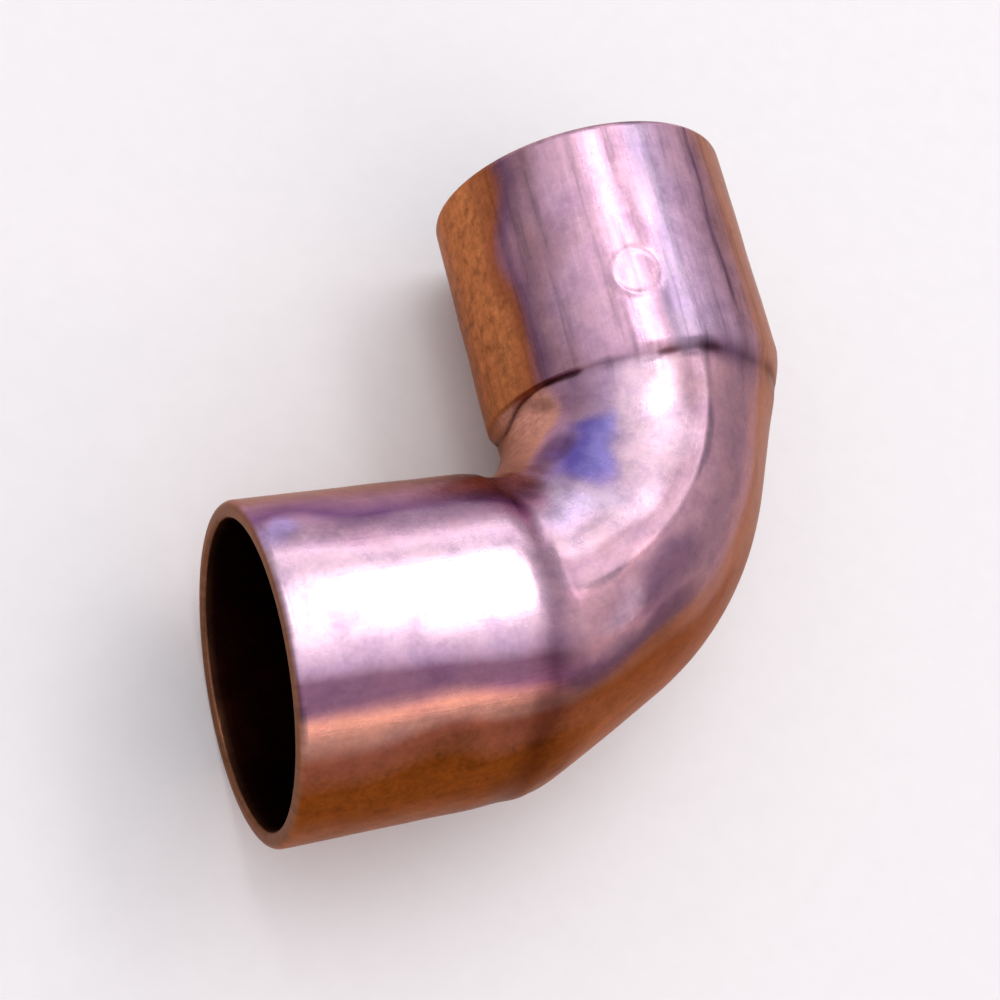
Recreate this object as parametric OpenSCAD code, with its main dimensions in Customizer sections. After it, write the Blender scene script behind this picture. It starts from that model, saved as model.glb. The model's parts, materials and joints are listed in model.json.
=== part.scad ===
// Ninety-degree elbow for soldered copper tube, with two equal sockets.
// Millimetres. The elbow lies flat, with +Z up.
// The origin is the centre of socket A's tube stop, where the end of a tube rests.
// Socket A opens towards -X and socket B towards +Y. Both axes lie in the plane Z = 0.

/* [Sockets] */
// Outside diameter of the tube that each socket takes
tube_d = 22.2; // [22:0.1:23]
// Difference between the bore of a socket and the tube, which the solder fills
solder_gap = 0.1; // [0.05:0.05:0.2]
// Depth of each socket, from its mouth to the tube stop
socket_depth = 19; // [12:0.5:24]
// Thickness of the wall, in the sockets and in the bend
wall = 1.3; // [1:0.1:1.6]

/* [Mouths] */
// Radius of the rounding on the outside edge of each mouth
outer_round = 0.6; // [0.3:0.05:0.6]
// Radius of the rounding on the inside edge of each mouth
inner_round = 0.35; // [0.1:0.05:0.35]

/* [Bend] */
// Distance from the crossing of the two socket axes to each tube stop
centre_to_stop = 17.8; // [17:0.1:21]
// Outside width of the bend's section, from its back to its throat
bend_w = 21.3; // [20.5:0.1:21.5]
// How far the bend's top and bottom lie inside the outside of the sockets
bend_step = 0.45; // [0.4:0.05:0.8]
// How far the bend's centreline is drawn in towards the throat
bend_draw = 0.7; // [0.4:0.1:0.8]
// Angle at which each shoulder narrows from its socket to the bend
shoulder_angle = 24; // [24:1:28]

/* [Hidden] */

copper = [0.76, 0.52, 0.47];
bore_r = (tube_d + solder_gap) / 2;
socket_r = bore_r + wall;
bend_outer_r = bend_w / 2;
bend_inner_r = bend_outer_r - wall;
bend_radius = centre_to_stop - bend_draw;

// Bending leaves the tube taller than wide: each half of its section is moved off the middle by this.
section_rise = socket_r - bend_step - bend_outer_r;
quarter_turn = 90;

// Each shoulder's cone runs on inside the round section until the section covers it.
shoulder_length = 10;
shoulder_drop = shoulder_length * tan(shoulder_angle);

// The cutter for the waterway passes both ends of the bend by this much.
overrun = 0.5;
overrun_angle = 2;

$fn = 96;

// Turns a shape that stands on the origin along +Z into socket A's place.
module at_stop_a() {
    rotate([0, -90, 0])
        children();
}

// Turns a shape that stands on the origin along +Z into socket B's place.
module at_stop_b() {
    translate([centre_to_stop, centre_to_stop, 0])
        rotate([-90, 0, 0])
            children();
}

// What a quarter round of radius r takes off a corner at the origin, which points towards +X +Y.
module corner_waste(r) {
    translate([-r, -r])
        difference() {
            square(2 * r);
            circle(r);
        }
}

// Half of a socket's cross-section: radius along X, height above the tube stop along Y.
module socket_profile() {
    difference() {
        translate([bore_r, 0])
            square([wall, socket_depth]);
        translate([socket_r, socket_depth])
            corner_waste(outer_round);
        translate([bore_r, socket_depth])
            mirror([1, 0])
                corner_waste(inner_round);
    }
}

module socket() {
    color(copper)
        rotate_extrude()
            socket_profile();
}

// A cone that narrows away from a socket of radius end_r, on the far side of its tube stop.
module shoulder(end_r, past) {
    translate([0, 0, -shoulder_length])
        cylinder(
            h = shoulder_length + past,
            r1 = end_r - shoulder_drop,
            r2 = end_r + past * tan(shoulder_angle)
        );
}

// The section of the bend: two half rounds of radius r, above and below a straight stretch.
module bend_section(r) {
    for (side = [-1, 1])
        translate([0, side * section_rise])
            circle(r);
    square([2 * r, 2 * section_rise], center = true);
}

// The bend with its two shoulders, run past each end by past and past_angle.
module bend_body(section_r, end_r, past, past_angle) {
    translate([0, centre_to_stop, 0])
        rotate([0, 0, -quarter_turn - past_angle])
            rotate_extrude(angle = quarter_turn + 2 * past_angle)
                translate([bend_radius, 0])
                    bend_section(section_r);
    at_stop_a()
        shoulder(end_r, past);
    at_stop_b()
        shoulder(end_r, past);
}

module socket_a() {
    at_stop_a()
        socket();
}

module elbow_bend() {
    color(copper)
        difference() {
            bend_body(bend_outer_r, socket_r, 0, 0);
            bend_body(bend_inner_r, bore_r, overrun, overrun_angle);
        }
}

module socket_b() {
    at_stop_b()
        socket();
}

socket_a();
elbow_bend();
socket_b();
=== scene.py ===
import json
import math

import bpy
import numpy as np
from mathutils import Matrix, Vector


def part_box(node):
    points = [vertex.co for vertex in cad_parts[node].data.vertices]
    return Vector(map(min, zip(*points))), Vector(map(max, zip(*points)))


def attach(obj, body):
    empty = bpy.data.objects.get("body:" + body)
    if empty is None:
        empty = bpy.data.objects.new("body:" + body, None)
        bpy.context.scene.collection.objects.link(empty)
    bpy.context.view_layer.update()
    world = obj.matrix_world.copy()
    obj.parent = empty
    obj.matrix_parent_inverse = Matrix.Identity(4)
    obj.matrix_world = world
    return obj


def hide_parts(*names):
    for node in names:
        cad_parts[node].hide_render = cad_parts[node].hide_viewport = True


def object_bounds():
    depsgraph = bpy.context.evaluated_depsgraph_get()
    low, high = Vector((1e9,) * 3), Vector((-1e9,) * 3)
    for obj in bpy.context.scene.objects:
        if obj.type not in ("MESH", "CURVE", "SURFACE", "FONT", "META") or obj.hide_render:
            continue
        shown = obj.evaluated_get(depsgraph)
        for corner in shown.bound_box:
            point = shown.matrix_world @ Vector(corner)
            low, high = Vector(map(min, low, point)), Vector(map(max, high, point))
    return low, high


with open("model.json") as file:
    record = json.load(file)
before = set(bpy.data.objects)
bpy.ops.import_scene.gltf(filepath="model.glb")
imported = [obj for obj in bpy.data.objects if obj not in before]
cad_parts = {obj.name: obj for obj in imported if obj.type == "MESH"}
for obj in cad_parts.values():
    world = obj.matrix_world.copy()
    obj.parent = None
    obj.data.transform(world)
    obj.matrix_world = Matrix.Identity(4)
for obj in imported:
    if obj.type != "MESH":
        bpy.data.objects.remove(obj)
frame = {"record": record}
cad_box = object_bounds()

MM = 0.001
QUARTER = math.pi / 2

# ---------------------------------------------------------------- sizes from the frame
mounts = {m["name"]: m for m in frame["record"]["mounts"]}
low_a, high_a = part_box("socket_a")
SOCKET_R = (high_a.z - low_a.z) / 2
BORE_R = mounts["socket_a"]["dims"]["r_mm"] * MM
CENTRE = mounts["socket_b"]["pos_m"][0]
DEPTH = -low_a.x
ARC = CENTRE * QUARTER

# ---------------------------------------------------------------- sizes of the form
# How far the bend's section draws in from the sockets: at its back, at the throat, and on top.
BACK_IN = 2.7 * MM
THROAT_IN = 1.05 * MM
TOP_IN = 0.5 * MM
# How far past a stop the draw at back and throat ends, and how softly it starts at each stop.
TAPER = 7.9 * MM
SOFT_A = 1.2 * MM
SOFT_B = 0.7 * MM
# Where the step on top starts and ends, past each stop.
STEP_A = (-1.2 * MM, 2.2 * MM)
STEP_B = (-0.3 * MM, 1.7 * MM)
# How far the whole outside lies inside the frame's box, so that its bumps stay within it.
EVEN_INSET = 0.02 * MM
# Marks that forming left. The ridge's sides fall away over this many degrees.
VALLEY_DEPTH = 0.10 * MM
VALLEY_WIDTH = 1.5 * MM
CREASE_DEPTH = 0.16 * MM
RIDGE_BACK = 0.38 * MM
RIDGE_THROAT = 0.25 * MM
RIDGE_FALL = 12
# The stamped ring: its middle's place past stop B and turn from the top, and its size.
RING_PLACE = 6.0 * MM
RING_TURN = math.radians(17)
RING_R = 1.9 * MM
RING_LINE = 0.22 * MM
RING_HEIGHT = 0.05 * MM
# The rounded edges of the mouths.
OUTER_ROUND = 0.6 * MM
INNER_ROUND = 0.35 * MM
# Points round the tube.
COLUMNS = 300


# ---------------------------------------------------------------- form of the tube
# A place on the tube is s, the way along its middle from socket A's stop, and the angle around
# it, where a quarter turn is the top (+Z) and 0 is the back of the bend.
def smooth(t, a, b):
    """0 before a, 1 after b, and a smooth step between."""
    x = np.clip((t - a) / (b - a), 0, 1)
    return x * x * (3 - 2 * x)


def bell(x):
    """1 at 0, falling smoothly to about a third at 1 and to nothing past 2."""
    return np.exp(-x * x)


def waves(p, length, seed, count=16):
    """Smooth random height, mostly from -1 to 1, with bumps of about this length."""
    rng = np.random.RandomState(seed)
    total = np.zeros(p.shape[:-1])
    for _ in range(count):
        way = rng.normal(size=3)
        way *= 2 * math.pi / (length * rng.uniform(0.7, 1.6)) / np.linalg.norm(way)
        total += np.sin(p @ way + rng.uniform(0, 2 * math.pi))
    return total / math.sqrt(count)


def soft_start(t, soft):
    """0 below -soft, t above soft, and a smooth turn between."""
    return np.where(t < -soft, 0, np.where(t > soft, t, (t + soft) ** 2 / (4 * soft)))


def section(s):
    """Middle of the section at s, and the way from it to the back."""
    turn = np.clip(s / CENTRE, 0, QUARTER)
    back = np.stack([np.sin(turn), -np.cos(turn), 0 * turn], -1)
    middle = np.array([0, CENTRE, 0]) + CENTRE * back
    middle[..., 0] += np.minimum(s, 0)
    middle[..., 1] += np.maximum(s - ARC, 0)
    return middle, back


def radius(s, angle, end_r):
    """Distance from the middle to the surface, where a socket has radius end_r."""
    nearer_a = s < ARC / 2
    past = np.where(nearer_a, s, ARC - s)
    soft = np.where(nearer_a, SOFT_A, SOFT_B)
    taper = 1 - (1 - np.clip(soft_start(past, soft) / TAPER, 0, 1)) ** 2
    step = np.where(nearer_a, smooth(past, *STEP_A), smooth(past, *STEP_B))
    drawn_in = np.where(np.cos(angle) > 0, BACK_IN, THROAT_IN)
    in_plane = end_r - drawn_in * taper
    across = end_r - TOP_IN * step
    return 1 / np.hypot(np.cos(angle) / in_plane, np.sin(angle) / across)


def surface(rows, end_r):
    """s, angle, point and way out, for every row and column of one wall face."""
    s, angle = np.broadcast_arrays(rows[:, None], around[None, :])
    middle, back = section(s)
    out = np.cos(angle)[..., None] * back + np.sin(angle)[..., None] * np.array([0, 0, 1.0])
    return s, angle, middle + radius(s, angle, end_r)[..., None] * out, out


def rows_between(stops):
    """Places of rows from (place, spacing after it) pairs."""
    rows = []
    for (a, spacing), (b, _) in zip(stops, stops[1:]):
        count = max(1, round((b - a) / spacing))
        rows += list(a + (b - a) * np.arange(count) / count)
    return np.array(rows + [stops[-1][0]])


# Rows lie close together at the stops, where the shape turns, and wider apart along the sockets.
around = 2 * math.pi * np.arange(COLUMNS) / COLUMNS
mouth_a, mouth_b = -DEPTH, ARC + DEPTH
outer_rows = rows_between([
    (mouth_a + OUTER_ROUND, 0.25 * MM), (-2 * MM, 0.12 * MM), (0, 0.12 * MM), (3 * MM, 0.3 * MM),
    (ARC - 5 * MM, 0.08 * MM), (ARC, 0.12 * MM), (ARC + 1.5 * MM, 0.2 * MM),
    (mouth_b - OUTER_ROUND, 1),
])
inner_rows = rows_between([
    (mouth_a + INNER_ROUND, 0.6 * MM), (-1 * MM, 0.2 * MM), (0, 0.2 * MM), (7 * MM, 0.6 * MM),
    (ARC - 7 * MM, 0.2 * MM), (ARC, 0.2 * MM), (ARC + 1 * MM, 0.6 * MM),
    (mouth_b - INNER_ROUND, 1),
])[::-1]
s, angle, outer, outer_way = surface(outer_rows, SOCKET_R)
inner = surface(inner_rows, BORE_R)[2]

# The same places on the tube laid out straight, and how they lie: 1 right at the back or throat,
# and degrees from the top, positive towards the throat.
straight = np.stack([s, SOCKET_R * np.cos(angle), SOCKET_R * np.sin(angle)], -1)
back_side = np.clip(np.cos(angle), 0, 1)
throat_side = np.clip(-np.cos(angle), 0, 1)
from_top = np.degrees((angle - QUARTER + math.pi) % (2 * math.pi) - math.pi)

# The soft valley beside socket A. At the back it lies further towards the socket's mouth.
valley_place = (0.6 - 2.6 * back_side) * MM
valley = bell((s - valley_place) / VALLEY_WIDTH)

# The narrow crease beside socket B, which wanders a little and is pressed in unevenly.
crease_place = (0.8 + 0.9 * back_side + 4.0 * bell((from_top - 98) / 20)) * MM
crease_place += 0.16 * MM * waves(straight, 5 * MM, 6)
pressed = 0.12 + 0.82 * smooth(waves(straight, 5 * MM, 5), -0.9, 0.9)
pressed *= 1 - 0.5 * smooth(throat_side, 0.9, 1)
pressed += (0.4 - pressed) * smooth(back_side, 0.45, 0.85)
crease = bell((ARC - s - crease_place) / ((0.22 + 0.36 * pressed) * MM)) * pressed

# The ridge that the forming die left along the top of the bend.
on_bend = smooth(s, 1 * MM, 6 * MM) * (1 - smooth(s, ARC - 4 * MM, ARC - 1 * MM))
to_back = np.clip(-from_top, 0, 90)
to_throat = np.clip(from_top, 0, 90)
beside_ridge = RIDGE_BACK * (1 - np.exp(-to_back / RIDGE_FALL)) * (1 - smooth(to_back, 35, 85))
beside_ridge += RIDGE_THROAT * (1 - np.exp(-to_throat / RIDGE_FALL)) * (1 - smooth(to_throat, 20, 60))
beside_ridge *= on_bend

# A plain ring stamped into the top of socket B.
ring_off = np.hypot(s - ARC - RING_PLACE, SOCKET_R * (angle - QUARTER - RING_TURN))
ring = bell((ring_off - RING_R) / RING_LINE)

bumps = 0.020 * MM * waves(straight, 9 * MM, 11) + 0.006 * MM * waves(straight, 3.5 * MM, 12)
inset = EVEN_INSET + bumps + VALLEY_DEPTH * valley + CREASE_DEPTH * crease + beside_ridge
inset -= RING_HEIGHT * ring
outer = outer - inset[..., None] * outer_way


def rim(end, inward, outer_edge, inner_edge):
    """Rows round a mouth, from the outer surface to the bore. inward is the way into the tube."""
    middle = section(np.array([end]))[0][0]
    axis = np.array(inward, float)
    flat_out = outer_edge - axis * ((outer_edge - middle) @ axis)[:, None]
    flat_in = inner_edge - axis * ((inner_edge - middle) @ axis)[:, None]
    across = flat_out - middle
    across = across / np.linalg.norm(across, axis=1)[:, None]
    rows = []
    for t in np.linspace(0, QUARTER, 9)[1:]:
        in_by, up_by = OUTER_ROUND * (1 - math.cos(t)), OUTER_ROUND * (1 - math.sin(t))
        rows.append(flat_out - across * in_by + axis * up_by)
    for t in np.linspace(QUARTER, 0, 7)[:-1]:
        in_by, up_by = INNER_ROUND * (1 - math.cos(t)), INNER_ROUND * (1 - math.sin(t))
        rows.append(flat_in + across * in_by + axis * up_by)
    return np.array(rows)


# One closed grid: the outside from A to B, round mouth B, the inside back to A, round mouth A.
rim_b = rim(mouth_b, (0, -1, 0), outer[-1], inner[0])
rim_a = rim(mouth_a, (1, 0, 0), outer[0], inner[-1])[::-1]
parts = [outer, rim_b, inner, rim_a]
grid = np.concatenate(parts)
down = np.roll(grid, -1, 0) - np.roll(grid, 1, 0)
side = np.roll(grid, -1, 1) - np.roll(grid, 1, 1)
normal = np.cross(down, side)
normal /= np.linalg.norm(normal, axis=2)[..., None]


# ---------------------------------------------------------------- colour by place
COPPER = (0.45, 0.17, 0.08)
BROWN = (0.36, 0.10, 0.02)
DARK_BROWN = (0.21, 0.05, 0.006)
OCHRE = (0.45, 0.155, 0.055)
MUTED_BROWN = (0.49, 0.24, 0.17)
BRICK = (0.29, 0.085, 0.035)
RED_BROWN = (0.43, 0.125, 0.07)
SALMON = (0.64, 0.31, 0.24)
TAN = (0.44, 0.20, 0.15)
LIGHT_TAN = (0.58, 0.27, 0.20)
GREY_ROSE = (0.54, 0.30, 0.36)
ASHEN = (0.32, 0.195, 0.245)
MAUVE = (0.42, 0.22, 0.31)
DUSKY = (0.23, 0.11, 0.18)
PURPLE = (0.24, 0.11, 0.26)
BLUISH = (0.33, 0.24, 0.34)
LILAC = (0.58, 0.38, 0.54)
ROSE = (0.72, 0.44, 0.58)
PINK = (0.86, 0.61, 0.74)
PALE = (0.84, 0.70, 0.94)
VIOLET = (0.24, 0.18, 0.66)
BRIGHT_VIOLET = (0.46, 0.40, 0.98)
PERIWINKLE = (0.55, 0.45, 0.90)
PLUM = (0.14, 0.065, 0.15)
DARK_SHADE = (0.12, 0.045, 0.04)
RIM = (0.20, 0.085, 0.045)
# Painted shade of the bore, and a painted lit band at its edge.
BORE_SHADE = (0.05, 0.008, 0.006)
LIT_BORE_EDGE = (0.36, 0.15, 0.08)

# What the colour is multiplied by for the painted shade in the valley and the crease.
VALLEY_SHADE = np.array((0.44, 0.34, 0.40))
CREASE_SHADE = np.array((0.24, 0.17, 0.17))

# Colours round the tube, by degrees from the top, where the throat is the positive side. They are partly
# the copper's own colour and partly painted reflections and shade: lighter pink on top, painted streaks of
# reflected warm and dark surroundings along the sides, and a painted brown reflection low on the sides and
# underneath.
BANDS_A = [
    (-180, COPPER), (-105, COPPER), (-70, DARK_BROWN), (-54, DARK_BROWN), (-49, BRICK),
    (-43, RED_BROWN), (-38, SALMON), (-33, SALMON), (-26, DUSKY), (-20, DUSKY), (-13, LILAC),
    (-8, PINK), (26, PINK), (32, ROSE), (40, PURPLE), (48, MAUVE), (62, TAN), (100, COPPER),
    (180, COPPER),
]
BANDS_BEND = [
    (-180, COPPER), (-105, COPPER), (-70, BROWN), (-42, BRICK), (-32, TAN), (-22, GREY_ROSE), (-1, GREY_ROSE),
    (1, ASHEN), (6, ASHEN), (16, PINK), (33, PINK), (43, LILAC), (56, MAUVE), (64, LIGHT_TAN),
    (82, LIGHT_TAN), (105, COPPER), (180, COPPER),
]
BANDS_B = [
    (-180, COPPER), (-80, COPPER), (-50, MUTED_BROWN), (-33, TAN), (-25, GREY_ROSE), (-14, ROSE), (-7, LILAC),
    (1, BLUISH), (7, BLUISH), (12, ROSE), (40, ROSE), (49, GREY_ROSE), (58, DUSKY), (64, BRICK), (76, OCHRE),
    (105, OCHRE), (130, COPPER), (180, COPPER),
]


def bands(stops, turned):
    """Colour at these degrees from the top, blended between the stops."""
    turns, colours = zip(*stops)
    return np.stack([np.interp(turned, turns, channel) for channel in zip(*colours)], -1)


def paint(colour, over, share):
    """A colour with this share of another over it."""
    share = np.clip(share, 0, 1)[..., None]
    return colour * (1 - share) + np.array(over) * share


# The bands' edges wander, but not underneath, where the degrees from the top start again.
long_streaks = np.stack([0.12 * straight[..., 0], straight[..., 1], straight[..., 2]], -1)
wander = 3.0 * waves(straight, 7 * MM, 21) + 1.3 * waves(long_streaks, 2.2 * MM, 22)
turned = from_top + wander * smooth(180 - np.abs(from_top), 0, 40)
tint = bands(BANDS_A, turned)
to_bend = smooth(s + 0.8 * MM * waves(straight, 5 * MM, 23), -0.5 * MM, 2.5 * MM)[..., None]
tint = tint * (1 - to_bend) + bands(BANDS_BEND, turned) * to_bend
to_b = smooth(s, ARC - 1.6 * MM, ARC - 0.4 * MM)[..., None]
tint = tint * (1 - to_b) + bands(BANDS_B, turned) * to_b


def spot(place, turn, length, width, seed):
    """A soft-edged patch: place and length in mm along the tube, turn and width in degrees."""
    d = np.hypot((s / MM - place) / length, (turned - turn) / width)
    return 1 - smooth(d + 0.12 * waves(straight, 4 * MM, seed), 0.3, 1.25)


# Patches of painted reflection and painted shade over the bands, in the order they lie over each other:
# colour, share, and what spot() takes.
LIGHT_AND_SHADE_PATCHES = [
    (LILAC, 0.7, -5.0, 35, 6.0, 7, 41),
    (LILAC, 0.8, 5.5, 53, 4.0, 14, 36),
    (PLUM, 0.8, 12.0, 52, 4.5, 10, 31),
    (VIOLET, 1.0, 14.8, 40, 6.8, 13, 31),
    (BRIGHT_VIOLET, 0.85, 15.8, 35, 5.5, 7, 31),
    (PLUM, 0.75, 15.0, 52, 3.5, 7, 35),
    (PALE, 0.8, 6.5, 27, 5.0, 12, 31),
    (DARK_BROWN, 0.6, 4.5, -40, 8.0, 13, 39),
    (PERIWINKLE, 0.7, -17.2, 33, 1.8, 5, 31),
    (MUTED_BROWN, 0.6, 22.0, -45, 9.0, 16, 40),
    (PLUM, 0.7, 2.5, -27, 3.5, 9, 32),
    (PLUM, 0.65, 9.5, -14, 4.0, 9, 33),
    (PLUM, 0.6, 7.4, -27, 4.0, 6, 37),
    (PINK, 0.5, 4.9, -11, 2.2, 6, 34),
]
for colour, share, *patch in LIGHT_AND_SHADE_PATCHES:
    tint = paint(tint, colour, share * spot(*patch))

# Painted shade: darker in the valley, in a soft band round the crease with a dark spot beside it, and in
# the crease itself.
tint = paint(tint, VALLEY_SHADE * tint, 0.8 * valley)
shaded = bell((ARC - s - crease_place) / (1.1 * MM))
plum_shade = 0.8 * bell((from_top + 12) / 14) + 0.5 * bell((from_top - 34) / 9)
tint = paint(tint, PLUM, shaded * plum_shade)
tint = paint(tint, DARK_SHADE, 0.6 * shaded * smooth(from_top, 60, 75))
tint = paint(tint, DARK_SHADE, 0.6 * spot(24.1, 68, 2.2, 8, 38))
tint = paint(tint, CREASE_SHADE * tint, 1.25 * crease)

# One dark draw line along socket B, towards its back.
draw_line = bell((turned + 22) / 1.6) * smooth(s, ARC + 1 * MM, ARC + 5 * MM)
tint = paint(tint, PLUM, 0.8 * draw_line)


def rim_tint(edge):
    """Colour of a rim's rows, from the outside's last colour to the cut metal's."""
    share = smooth(np.arange(len(rim_b)), 1, 5)[:, None]
    return paint(np.broadcast_to(edge, rim_b.shape), RIM, share)


# Painted shade inside the bore: near black, with a painted lit band just in from each mouth.
from_mouth = np.minimum(inner_rows - mouth_a, mouth_b - inner_rows)
lit_edge = bell(from_mouth / (0.6 * MM))[:, None]
bore_shade_tint = paint(np.broadcast_to(BORE_SHADE, inner.shape), LIT_BORE_EDGE, lit_edge)
tint_grid = np.concatenate([tint, rim_tint(tint[-1]), bore_shade_tint, rim_tint(tint[0])[::-1]])

# The straightened place: along the tube, and round it. Rims and bore use their own mouth's.
place_rows = np.concatenate([
    outer_rows, np.full(len(rim_b), mouth_b), inner_rows, np.full(len(rim_a), mouth_a)])
place_grid, round_grid = np.broadcast_arrays(place_rows[:, None], around[None, :])
straight_grid = np.stack(
    [place_grid, SOCKET_R * np.cos(round_grid), SOCKET_R * np.sin(round_grid)], -1) / MM

# How far a place lies in the painted brown reflection on the sides and underside, how far its draw lines
# show, and how pitted it is.
brown_side = np.maximum(smooth(-turned, 38, 55), smooth(turned, 58, 75))
drawn = smooth(s, ARC - 6 * MM, ARC + 2 * MM) * (1 - 0.6 * brown_side) + 0.15
pitted = smooth(turned, 58, 75) * smooth(s, ARC - 1 * MM, ARC + 2 * MM)
brown_side_and_wear = np.stack([brown_side, drawn, pitted], -1)
BROWN_SIDE_AND_WEAR_ELSEWHERE = (0.6, 0.1, 0.0)
elsewhere = [np.broadcast_to(BROWN_SIDE_AND_WEAR_ELSEWHERE, part.shape) for part in parts[1:]]
brown_side_and_wear_grid = np.concatenate([brown_side_and_wear, *elsewhere])


def band_faces(first, second):
    """Faces between two rows of points, which start at these numbers."""
    k = np.arange(COLUMNS)
    following = (k + 1) % COLUMNS
    return np.stack([first + k, second + k, second + following, first + following], 1)


def piece(name, rows, ends, material):
    """A closed mesh of these grid rows. An end is two rows that a flat ring joins, and its facing."""
    number = {row: i * COLUMNS for i, row in enumerate(rows)}
    points = grid[rows].reshape(-1, 3)
    walls = [
        band_faces(number[row], number[(row + 1) % len(grid)])
        for row in rows if (row + 1) % len(grid) in number]
    rings = []
    for outside, inside, facing in ends:
        ring_faces = band_faces(number[outside], number[inside])
        a, b, _, d = points[ring_faces[0]]
        forward = np.cross(b - a, d - a) @ np.array(facing) > 0
        rings.append(ring_faces if forward else ring_faces[:, ::-1])
    faces = np.concatenate(walls + rings)
    mesh = bpy.data.meshes.new(name)
    mesh.from_pydata(points.tolist(), [], faces.tolist())
    mesh.shade_smooth()
    corner_normals = normal[rows].reshape(-1, 3)[faces]
    at = len(faces) - sum(len(r) for r in rings)
    for (_, _, facing), ring_faces in zip(ends, rings):
        corner_normals[at:at + len(ring_faces)] = facing
        at += len(ring_faces)
    mesh.normals_split_custom_set(corner_normals.reshape(-1, 3).tolist())
    tube = mesh.attributes.new("tube", "FLOAT_VECTOR", "POINT")
    tube.data.foreach_set("vector", straight_grid[rows].astype(np.float32).ravel())
    brown_side_and_wear_layer = mesh.attributes.new("brown_side_and_wear", "FLOAT_VECTOR", "POINT")
    brown_side_and_wear_layer.data.foreach_set("vector", brown_side_and_wear_grid[rows].astype(np.float32).ravel())
    colour = mesh.attributes.new("tint", "FLOAT_COLOR", "POINT")
    full = np.concatenate([tint_grid[rows], np.ones((len(rows), COLUMNS, 1))], -1)
    colour.data.foreach_set("color", full.astype(np.float32).ravel())
    ob = bpy.data.objects.new(name, mesh)
    bpy.context.scene.collection.objects.link(ob)
    ob.data.materials.append(material)
    return ob


# ---------------------------------------------------------------- materials
class Nodes:
    """Short ways to build a node tree. A value may be a number, a colour or another node's socket."""

    def __init__(self, tree):
        self.tree = tree
        tree.nodes.clear()

    def fill(self, socket, value):
        if isinstance(value, bpy.types.NodeSocket):
            self.tree.links.new(value, socket)
        else:
            socket.default_value = value

    def add(self, kind, inputs=None, **settings):
        node = self.tree.nodes.new(kind)
        for key, value in settings.items():
            setattr(node, key, value)
        for key, value in (inputs or {}).items():
            self.fill(node.inputs[key], value)
        return node

    def math(self, operation, *values):
        node = self.add("ShaderNodeMath", operation=operation)
        for socket, value in zip(node.inputs, values):
            self.fill(socket, value)
        return node.outputs[0]

    def ramp(self, value, stops):
        """Colours or greys by place along the value."""
        node = self.add("ShaderNodeValToRGB", {0: value})
        elements = node.color_ramp.elements
        while len(elements) < len(stops):
            elements.new(0.5)
        for element, (place, colour) in zip(elements, stops):
            element.position = place
            element.color = (*colour, 1) if isinstance(colour, tuple) else (colour,) * 3 + (1,)
        return node.outputs[0]

    def tone(self, colour, by, share):
        """The colour multiplied by another, as far as this share. The numbers are Mix's colour sockets."""
        node = self.add("ShaderNodeMix", data_type="RGBA", blend_type="MULTIPLY")
        for key, value in ((0, share), (6, colour), (7, by)):
            self.fill(node.inputs[key], value)
        return node.outputs[2]

    def noise(self, vector, scale, detail=4.0, roughness=0.6):
        inputs = {"Vector": vector, "Scale": scale, "Detail": detail, "Roughness": roughness}
        return self.add("ShaderNodeTexNoise", inputs).outputs["Fac"]


def copper(name):
    """Worn wrought copper: colour by place, which carries painted reflections and shade, under clouds,
    draw lines, blotches, grain and pits.

    The noises work in mm on the straightened tube, so a scale of 0.35 makes marks of about 3 mm.
    """
    material = bpy.data.materials.new(name)
    material.use_nodes = True
    n = Nodes(material.node_tree)
    tube = n.add("ShaderNodeAttribute", attribute_name="tube").outputs["Vector"]
    tint = n.add("ShaderNodeAttribute", attribute_name="tint").outputs["Color"]
    brown_side_and_wear = n.add("ShaderNodeAttribute", attribute_name="brown_side_and_wear").outputs["Vector"]
    split = n.add("ShaderNodeSeparateXYZ", {"Vector": brown_side_and_wear})
    brown_side, drawn, pitted = split.outputs
    stretched = n.add("ShaderNodeMapping", {"Vector": tube, "Scale": (0.08, 1.0, 1.0)}).outputs[0]
    streaks = n.noise(stretched, 1.1)
    blotch = n.noise(tube, 0.35)
    grain = n.noise(tube, 2.2, 5.0, 0.7)
    cloud = n.ramp(n.noise(tube, 0.8, 5.0, 0.65), [(0.32, 0.66), (0.5, 1.0), (0.68, 1.2)])
    colour = n.tone(tint, cloud, n.math("MULTIPLY_ADD", brown_side, 0.33, 0.30))
    line = n.ramp(streaks, [(0.30, 0.62), (0.46, 0.96), (0.56, 1.0), (0.70, 1.12)])
    colour = n.tone(colour, line, drawn)
    shade = n.ramp(blotch, [
        (0.30, (0.74, 0.70, 0.82)), (0.5, (1.0, 1.0, 1.0)), (0.7, (1.12, 1.08, 1.0))])
    colour = n.tone(colour, shade, n.math("MULTIPLY_ADD", brown_side, -0.4, 0.7))
    mottle = n.ramp(grain, [(0.3, 0.55), (0.5, 1.0), (0.7, 1.3)])
    colour = n.tone(colour, mottle, n.math("MULTIPLY_ADD", brown_side, 0.40, 0.20))
    pits = n.ramp(n.noise(tube, 0.9, 4.0, 0.65), [(0.34, 0.45), (0.5, 1.0), (0.68, 1.25)])
    colour = n.tone(colour, pits, n.math("MULTIPLY", pitted, 0.6))
    rough = n.math("MULTIPLY_ADD", blotch, 0.20, 0.17)
    rough = n.math("ADD", rough, n.math("MULTIPLY", brown_side, 0.08))
    height = n.math("ADD", n.math("MULTIPLY", streaks, 0.55), n.math("MULTIPLY", grain, 0.30))
    bump = n.add("ShaderNodeBump", {"Height": height, "Strength": 0.13, "Distance": 0.2 * MM})
    shader = n.add("ShaderNodeBsdfPrincipled", {
        "Base Color": colour, "Metallic": 1.0, "Roughness": rough, "Normal": bump.outputs[0],
        "Specular Tint": (0.75, 0.6, 0.55, 1)})
    n.add("ShaderNodeOutputMaterial", {"Surface": shader.outputs[0]})
    return material


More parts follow.
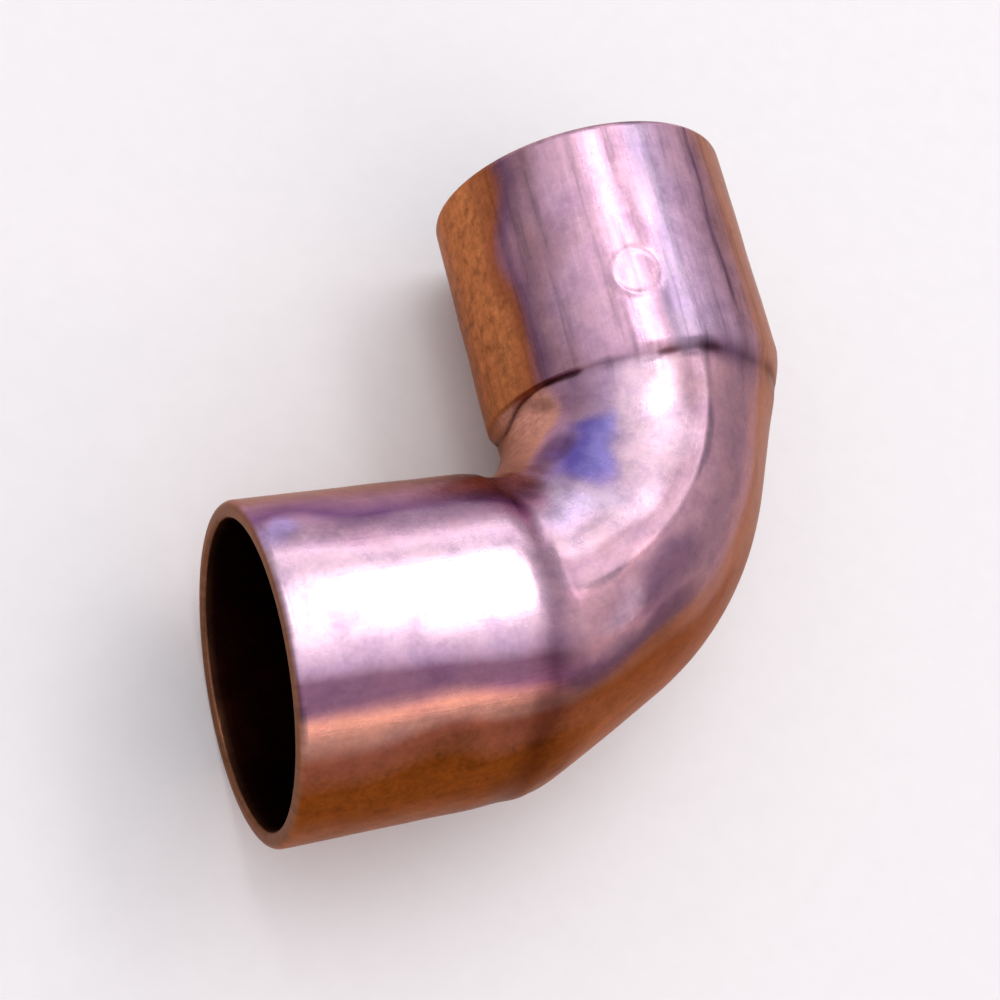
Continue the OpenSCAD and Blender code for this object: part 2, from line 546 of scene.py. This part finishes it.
# ---------------------------------------------------------------- the three pieces
# Each takes its rows of the grid, with the flat rings where it meets its neighbours at a stop.
inner_start = len(outer) + len(rim_b)
stop_a_out = int(np.argmin(np.abs(outer_rows)))
stop_b_out = int(np.argmin(np.abs(outer_rows - ARC)))
stop_a_in = inner_start + int(np.argmin(np.abs(inner_rows)))
stop_b_in = inner_start + int(np.argmin(np.abs(inner_rows - ARC)))
PIECES = {
    "socket_a": (
        [*range(stop_a_in, len(grid)), *range(stop_a_out + 1)],
        [(stop_a_out, stop_a_in, (1, 0, 0))]),
    "elbow_bend": (
        [*range(stop_a_out, stop_b_out + 1), *range(stop_b_in, stop_a_in + 1)],
        [(stop_a_out, stop_a_in, (-1, 0, 0)), (stop_b_out, stop_b_in, (0, 1, 0))]),
    "socket_b": (
        [*range(stop_b_out, stop_b_in + 1)],
        [(stop_b_out, stop_b_in, (0, -1, 0))]),
}
for node, (rows, ends) in PIECES.items():
    ob = piece(node + "_formed", rows, ends, copper("copper_" + node))
    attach(ob, "root")
    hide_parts(node)

# ---------------------------------------------------------------- floor
low, high = cad_box
centre = (low + high) / 2
FLOOR_R = 2.0
FLOOR_SIDES = 96

turns = [2 * math.pi * i / FLOOR_SIDES for i in range(FLOOR_SIDES)]
floor_points = [(centre.x, centre.y, low.z)]
floor_points += [
    (centre.x + FLOOR_R * math.cos(t), centre.y + FLOOR_R * math.sin(t), low.z) for t in turns]
floor_faces = [(0, 1 + i, 1 + (i + 1) % FLOOR_SIDES) for i in range(FLOOR_SIDES)]
floor_mesh = bpy.data.meshes.new("floor")
floor_mesh.from_pydata(floor_points, [], floor_faces)
floor = bpy.data.objects.new("floor", floor_mesh)
bpy.context.scene.collection.objects.link(floor)
floor_material = bpy.data.materials.new("pale_floor")
floor_material.use_nodes = True
n = Nodes(floor_material.node_tree)
floor_place = n.add("ShaderNodeTexCoord").outputs["Object"]
tone = n.ramp(n.noise(floor_place, 400.0), [(0.3, 0.89), (0.7, 0.91)])
paper = n.add("ShaderNodeBsdfPrincipled", {
    "Base Color": tone, "Roughness": 0.9, "Specular IOR Level": 0.1})
n.add("ShaderNodeOutputMaterial", {"Surface": paper.outputs[0]})
floor_mesh.materials.append(floor_material)

# ---------------------------------------------------------------- light
world = bpy.data.worlds.new("studio")
bpy.context.scene.world = world
world.use_nodes = True
n = Nodes(world.node_tree)
way = n.add("ShaderNodeTexCoord").outputs["Generated"]
height = n.add("ShaderNodeSeparateXYZ", {"Vector": way}).outputs["Z"]
sky = n.ramp(height, [
    (0.0, (0.50, 0.48, 0.51)), (0.42, (0.50, 0.47, 0.51)), (0.62, (0.72, 0.69, 0.73)),
    (0.76, (1.0, 0.97, 1.0)), (1.0, (1.1, 1.05, 1.1))])
back = n.add("ShaderNodeBackground", {"Color": sky, "Strength": 1.0})
n.add("ShaderNodeOutputWorld", {"Surface": back.outputs[0]})


def softbox(name, way, distance, width, length, along, radiance, colour):
    """An oval lamp facing the object from way, sizes in m. along is the direction of its length."""
    lamp = bpy.data.lights.new(name, "AREA")
    lamp.shape = "ELLIPSE"
    lamp.size, lamp.size_y = width, length
    lamp.energy = radiance * math.pi * math.pi / 4 * width * length
    lamp.color = colour
    ob = bpy.data.objects.new(name, lamp)
    bpy.context.scene.collection.objects.link(ob)
    way = Vector(way).normalized()
    across = Vector(along).cross(way).normalized()
    turn = Matrix((across, way.cross(across), way)).transposed()
    ob.matrix_world = Matrix.Translation(centre + way * distance) @ turn.to_4x4()


softbox("main", (0.41, 0.34, 0.845), 0.9, 0.20, 0.74, (0, 1, 0), 2.9, (1, 0.99, 0.99))
softbox("second", (-0.08, 0.34, 0.94), 0.7, 0.085, 0.40, (-0.4, 1, 0), 4.4, (1, 0.99, 0.99))
softbox("side", (0.41, 0.80, 0.44), 0.7, 0.09, 0.60, (1, -0.45, 0), 1.7, (1, 0.9, 1))
softbox("warm", (0.41, -0.71, 0.573), 0.7, 0.09, 0.70, (1, 0, 0), 2.1, (1, 0.72, 0.62))

# ---------------------------------------------------------------- camera
VIEW_AZIMUTH = math.radians(-57.15)
VIEW_ELEVATION = math.radians(60.76)
VIEW_ROLL = math.radians(-46.43)
VIEW_DISTANCE = 128.12 * MM
VIEW_RIGHT = -1.305 * MM
VIEW_UP = -1.770 * MM
VIEW_LENS = 58.37
SENSOR_WIDTH = 36
NEAREST_SEEN = 5 * MM

forward = Vector((
    -math.sin(VIEW_AZIMUTH) * math.cos(VIEW_ELEVATION),
    math.cos(VIEW_AZIMUTH) * math.cos(VIEW_ELEVATION),
    -math.sin(VIEW_ELEVATION)))
level_right = forward.cross(Vector((0, 0, 1))).normalized()
level_up = level_right.cross(forward)
up = level_up * math.cos(VIEW_ROLL) + level_right * math.sin(VIEW_ROLL)
right = forward.cross(up)
camera = bpy.data.objects.new("camera", bpy.data.cameras.new("camera"))
bpy.context.scene.collection.objects.link(camera)
camera.data.lens = VIEW_LENS
camera.data.sensor_width = SENSOR_WIDTH
camera.data.clip_start = NEAREST_SEEN
camera.rotation_mode = "QUATERNION"
camera.rotation_quaternion = Matrix((right, up, -forward)).transposed().to_quaternion()
camera.location = centre + right * VIEW_RIGHT + up * VIEW_UP - forward * VIEW_DISTANCE
bpy.context.scene.camera = camera
bpy.context.scene.view_settings.view_transform = "Standard"
